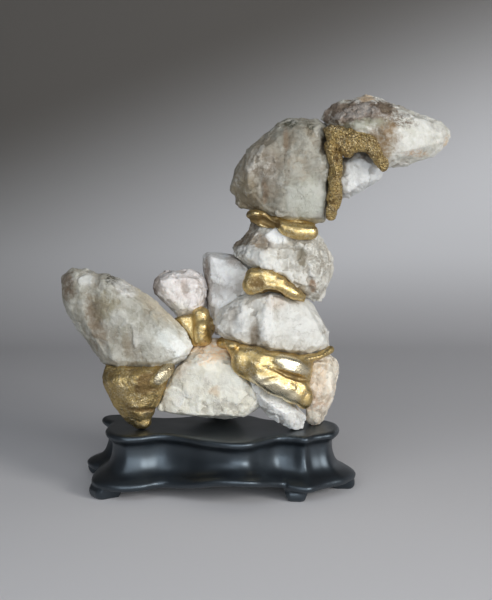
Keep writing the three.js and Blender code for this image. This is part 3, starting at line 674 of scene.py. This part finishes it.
# The gold seam: gritty putty, dabbed on in small lumps that the leaf follows. A patch of it holds the crest
# and chin stones, and a strip runs down the shoulder stone's right side.
GRIT_GRID = 0.0007  # fine enough to hold the grit
grit = grainy(shift=(0.6, 0.2, 0.7))
gold_seam = modelled("gold_seam", "gold_seam_leaf", relief=grit, grid=GRIT_GRID, soften=24, lumps=[
    (81, -8, 351, 8, 9, 7), (93, -9, 348, 9, 9, 8), (86, -9, 340, 7, 8, 9), (99, -9, 345, 8, 8, 8),
    (90, -5, 335, 6, 7, 6), (105, -11, 341, 6, 7, 7), (111, -13, 337, 5, 6, 5), (117, -13, 331, 5, 6, 5),
    (123, -12, 324, 5, 6, 5), (73, -16, 339, 4, 5, 8), (77, -17, 327, 5, 5, 7), (79, -18, 315, 5, 6, 8),
    (77, -19, 302, 5.5, 6, 8), (75, -19, 290, 6, 6, 7), (73, -18, 277, 4.5, 5, 8)])
dress(gold_seam, gilding("gold_seam_leaf", grit=1.0, worn=0.9, shift=(0.3, 0.7, 0.6)),
      "gilding", "gold_seam")

# The gold belt: the largest joint, two thick folds of putty under the broad stone with a finger's groove
# between them. It holds the broad stone to the base, sliver and heel stones.
gold_belt = modelled("gold_belt", "gold_belt_leaf", relief=pressed(
    wave=0.0003, wrinkle=0.0001, shift=(0.7, 0.5, 0.3),
    creases=[(36, 129, 22, 8, 24, 3.0), (35, 120, 20, 3, 23, -3.4), (20, 108, 32, 11, 28, 3.0),
             (14, 117, 9, 3, -10, -1.2)]),
    lumps=[(0, -25, 130, 20, 9, 17), (-12, -25, 132, 11, 9, 14), (24, -28, 117, 18, 10, 15),
           (40, -26, 104, 13, 9, 13), (48, -23, 97, 9, 9, 12), (-22, -27, 148, 6, 5, 3.5),
           (-28, 4, 146, 10, 14, 6)])
dress(gold_belt, gilding("gold_belt_leaf", grit=0.15, worn=0.6, shift=(0.2, 0.6, 0.1)),
      "gilding", "gold_belt")


# The stand: one carved block of wood under several coats of satin black lacquer. Its lip is a rounded bead,
# the waist draws in below it, and a swelling moulding runs out into short bracket feet.
def lacquer():
    """Black lacquer with faint brush marks, and a little dust where it faces up."""
    material, nodes, shader, place = new_finish("lacquer")
    brushed = nodes.noise(place, 0.03, 3, 0.6)
    dust = nodes.noise(place, 0.0012, 3, 0.75).between(0.66, 0.78)
    facing = nodes.add("ShaderNodeNewGeometry", out="Normal")
    up = nodes.add("ShaderNodeSeparateXYZ", {}, {0: facing}, out="Z")
    lying = dust * up.between(0.4, 0.9) * 0.12
    height = brushed * 0.6 + nodes.noise(place, 0.0025, 3) * 0.08
    feed(nodes, shader, Base_Color=nodes.mix(lying, tone(11, 11, 12), tone(110, 108, 104)),
         Roughness=0.40 + (brushed - 0.5) * 0.16 + lying,
         Normal=nodes.add("ShaderNodeBump", {}, {"Strength": 0.2, "Distance": 0.0006, "Height": height}))
    shader.inputs["IOR"].default_value = 1.95
    shader.inputs["Specular Tint"].default_value = (0.72, 0.87, 1.0, 1)
    return material


# The stand's shape is given in millimetres.
LIP = [  # the outline of the lip seen from above, from the right end round the back
    (85, -17), (83, 4), (72, 17), (58, 20), (42, 17), (28, 15), (12, 22), (-4, 39), (-26, 51), (-50, 46),
    (-68, 33), (-90, 27), (-114, 33), (-134, 42), (-150, 41), (-157, 30), (-153, 16), (-146, 5), (-147, -10),
    (-147, -26), (-141, -45), (-127, -58), (-110, -56), (-90, -47), (-68, -56), (-46, -72), (-22, -82),
    (-4, -79), (10, -66), (24, -54), (36, -55), (49, -60), (58, -52), (68, -46), (79, -38)]
LIP_LOOK = 0.035  # how far to each side its direction is read, as a share of the way round
PROFILE = [  # the moulding from the top's edge down, as distance out from the lip outline and height
    (-6, 62), (-3.6, 61.9), (-1, 60.8), (0.2, 58.4), (-0.6, 56), (-3.6, 53.4), (-6, 51), (-7, 47), (-6.4, 38),
    (-3.4, 29), (0.8, 23.5), (6.6, 19.8), (10.4, 16.4), (11, 13.4), (9.6, 10.6), (7, 10)]
BELLIES = [(-20, -82), (-26, 51)]  # the middles of the front and back lobes, under which the side arches up
BELLY_ARCH = 12  # how far it arches
BELLY_HALF = 38  # half the length of the arch
BELLY_DEEP = 0.7  # how much a step in depth counts there beside one along the length
BELLY_HEIGHTS = (50, 10)  # the heights where the arch starts and where it is full
FEET = [  # the place under the lip outline, half the width along the side, and how far the toe reaches out
    (-141, -46, 14, 18), (41, -56, 12, 12), (85, -17, 10, 15), (38, 17, 12, 12), (-154, 36, 14, 16)]
FOOT_FLARE = 6  # how far the moulding flares out over a foot
FLARE_SPREAD = 1.6  # how far along the side it flares, in half widths of the foot
FLARE_HEIGHTS = (26, 14)  # the heights where the flare starts and where it is full
TOE_ROUND = 3  # how far the corners of a toe are set back
RING_STEPS = 280
DROP_STEPS = 60
STAND_GRID = 0.0012  # the side of the squares of the stand's skin, in metres


def through(points, share, closed):
    """The point that share of the way, from 0 to 1, along a smooth line through points."""
    count = len(points)
    spans = count if closed else count - 1
    at = min(int(share * spans), spans - 1)
    t = share * spans - at
    a, b, c, d = [Vector(points[i % count] if closed else points[min(max(i, 0), count - 1)])
                  for i in range(at - 1, at + 3)]
    bend = (2 * a - 5 * b + 4 * c - d) * t ** 2
    twist = (3 * b - a - 3 * c + d) * t ** 3
    return 0.5 * (2 * b + (c - a) * t + bend + twist)


def step_up(value, start, end):
    """0 where value is at or before start, 1 at or past end, and a soft step in between."""
    share = min(max((value - start) / (end - start), 0), 1)
    return share * share * (3 - 2 * share)


def lip_station(share):
    """A point of the lip outline and its direction outwards."""
    along = through(LIP, (share + LIP_LOOK) % 1, True) - through(LIP, (share - LIP_LOOK) % 1, True)
    return through(LIP, share % 1, True), Vector((along.y, -along.x)).normalized()


def moulding(share, down):
    """A point of the stand's side: share of the way round and down of the way down its profile."""
    point, out = lip_station(share)
    distance, height = through(PROFILE, down, False)
    for x, y, half, _ in FEET:
        away = (point - Vector((x, y))).length / (FLARE_SPREAD * half)
        distance += FOOT_FLARE * step_up(height, *FLARE_HEIGHTS) * math.exp(-away * away)
    rise = 0
    for x, y in BELLIES:
        away = math.hypot(point.x - x, BELLY_DEEP * (point.y - y)) / BELLY_HALF
        rise += BELLY_ARCH * step_up(height, *BELLY_HEIGHTS) * math.exp(-away * away)
    place = point + out * distance
    return Vector((place.x, place.y, height + rise)) / PER_METRE


def bracket_foot(x, y, half, toe):
    """A short bracket foot, wider at the top, with its toe curling outwards."""
    station = min((i / RING_STEPS for i in range(RING_STEPS)),
                  key=lambda share: (lip_station(share)[0] - Vector((x, y))).length)
    point, out = lip_station(station)
    along = Vector((-out.y, out.x))
    levels = [  # height, half the width, and how far the back and the toe are from the lip outline
        (15, half, -10, toe - 4),
        (8, half - 1, -8, toe + 1),
        (3, half - 3, -6, toe + 1),
        (0, half - 4, -5, toe - 2)]
    bpy.ops.mesh.primitive_grid_add(x_subdivisions=7, y_subdivisions=3, size=1)
    foot = bpy.context.object
    for i, corner in enumerate(foot.data.vertices):
        level, spot = divmod(i, 8)
        height, wide, back, front = levels[level]
        side = (-1, -0.6, 0.6, 1)[spot % 4]
        reach = back if spot < 4 else front - (TOE_ROUND if abs(side) == 1 else 0)
        place = point + out * reach + along * (side * wide)
        corner.co = Vector((place.x, place.y, height)) / PER_METRE
    bpy.ops.object.mode_set(mode="EDIT")
    bpy.ops.mesh.select_all(action="SELECT")
    bpy.ops.mesh.convex_hull()
    bpy.ops.object.mode_set(mode="OBJECT")
    return foot


bpy.ops.mesh.primitive_grid_add(x_subdivisions=RING_STEPS, y_subdivisions=DROP_STEPS, size=1)
stand = bpy.context.object
stand.name = stand.data.name = "lacquered_stand"
for corner in stand.data.vertices:
    corner.co = moulding(corner.co.x + 0.5, corner.co.y + 0.5)
bpy.ops.object.mode_set(mode="EDIT")
bpy.ops.mesh.select_all(action="SELECT")
bpy.ops.mesh.remove_doubles(threshold=WELD)
bpy.ops.mesh.fill_holes(sides=0)
bpy.ops.mesh.normals_make_consistent(inside=False)
bpy.ops.object.mode_set(mode="OBJECT")
feet = [bracket_foot(*foot) for foot in FEET]
active(stand)
for foot in feet:
    foot.select_set(True)
bpy.ops.object.join()
apply_modifier(stand, "REMESH", mode="VOXEL", voxel_size=STAND_GRID, use_smooth_shade=True)
apply_modifier(stand, "SMOOTH", factor=0.5, iterations=5)
low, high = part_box("stand")
corners = [Vector(corner) for corner in stand.bound_box]
middle_of = [(min(c[i] for c in corners) + max(c[i] for c in corners)) / 2 for i in range(2)]
shift = Vector([(low[i] + high[i]) / 2 - middle_of[i] for i in range(2)] + [0])
for corner in stand.data.vertices:
    corner.co += shift
dress(stand, lacquer(), "lacquer", "stand")


# The room: a pale floor that sweeps up into a pale wall, with painted shade that darkens it towards the upper
# left and the left. It has a soft window at the right, a wide skylight over the camera and a wider window
# behind it. The last two are bluish and show in the lacquer.
FLOOR_WIDTH = 6
FLOOR_FRONT = -2.5
FLOOR_BACK = 0.85  # where the floor starts to sweep up
SWEEP_RADIUS = 0.5
SWEEP_STEPS = 12
WALL_HEIGHT = 2.5


def paper():
    """Pale paper with painted shade: dark at the upper left and left, where the painted light is 0, and a
    little greyer on and close to the floor.
    """
    material, nodes, shader, place = new_finish("paper")
    parts = nodes.add("ShaderNodeSeparateXYZ", {}, {0: place})
    painted_window_light = (parts.output("X") * 0.95 - parts.output("Z") * 2.6 + 0.62).between(-1.0, 0.55)
    pale = nodes.mix(parts.output("Z").between(0.0, 0.15), tone(216, 214, 215), tone(244, 243, 244))
    feed(nodes, shader, Base_Color=nodes.mix(painted_window_light, tone(108, 104, 99), pale), Roughness=0.9)
    return material


def light(name, place, target, size, power, colour):
    """A soft rectangular light of size, in metres, and power, in watts, that faces target."""
    bpy.ops.object.light_add(type="AREA", location=place)
    lamp = bpy.context.object
    lamp.name = name
    lamp.data.shape = "RECTANGLE"
    lamp.data.size, lamp.data.size_y = size
    lamp.data.energy = power
    lamp.data.color = colour
    lamp.rotation_euler = (Vector(target) - Vector(place)).to_track_quat("-Z", "Y").to_euler()


bpy.ops.mesh.primitive_plane_add(size=1, location=(0, 0, 0))
floor = bpy.context.object
floor.name = "floor"
bpy.ops.object.mode_set(mode="EDIT")
bpy.ops.transform.resize(value=(FLOOR_WIDTH, 1, 1))
bpy.ops.object.mode_set(mode="OBJECT")
for corner in floor.data.vertices:
    corner.co.y = FLOOR_BACK if corner.co.y > 0 else FLOOR_FRONT
bpy.ops.object.mode_set(mode="EDIT")
bpy.ops.mesh.select_mode(type="EDGE")
bpy.ops.mesh.select_all(action="DESELECT")
bpy.ops.object.mode_set(mode="OBJECT")
for edge in floor.data.edges:
    edge.select = all(floor.data.vertices[i].co.y > 0 for i in edge.vertices)
bpy.ops.object.mode_set(mode="EDIT")
length = SWEEP_RADIUS * math.radians(90) / SWEEP_STEPS
for step in range(SWEEP_STEPS):
    angle = math.radians(90 * (step + 0.5) / SWEEP_STEPS)
    bpy.ops.mesh.extrude_region_move(TRANSFORM_OT_translate={
        "value": (0, length * math.cos(angle), length * math.sin(angle))})
bpy.ops.mesh.extrude_region_move(TRANSFORM_OT_translate={"value": (0, 0, WALL_HEIGHT)})
bpy.ops.object.mode_set(mode="OBJECT")
bpy.ops.object.shade_smooth()
floor.data.materials.append(paper())

light("window", place=(1.5, -1.3, 0.75), target=(0, 0, 0.16), size=(0.7, 0.7), power=21,
      colour=(1.0, 0.99, 0.97))
light("skylight", place=(-0.3, -1.1, 1.05), target=(0, 0, 0.10), size=(1.8, 0.8), power=6,
      colour=(0.92, 0.96, 1.0))
light("front_window", place=(0.25, -2.2, 0.65), target=(0, 0, 0.12), size=(2.6, 1.0), power=21,
      colour=(0.90, 0.95, 1.0))

world = bpy.data.worlds.new("room")
bpy.context.scene.world = world
world.use_nodes = True
world.node_tree.nodes["Background"].inputs["Color"].default_value = (*tone(200, 206, 216), 1)
world.node_tree.nodes["Background"].inputs["Strength"].default_value = 0.19
bpy.context.scene.view_settings.view_transform = "Standard"
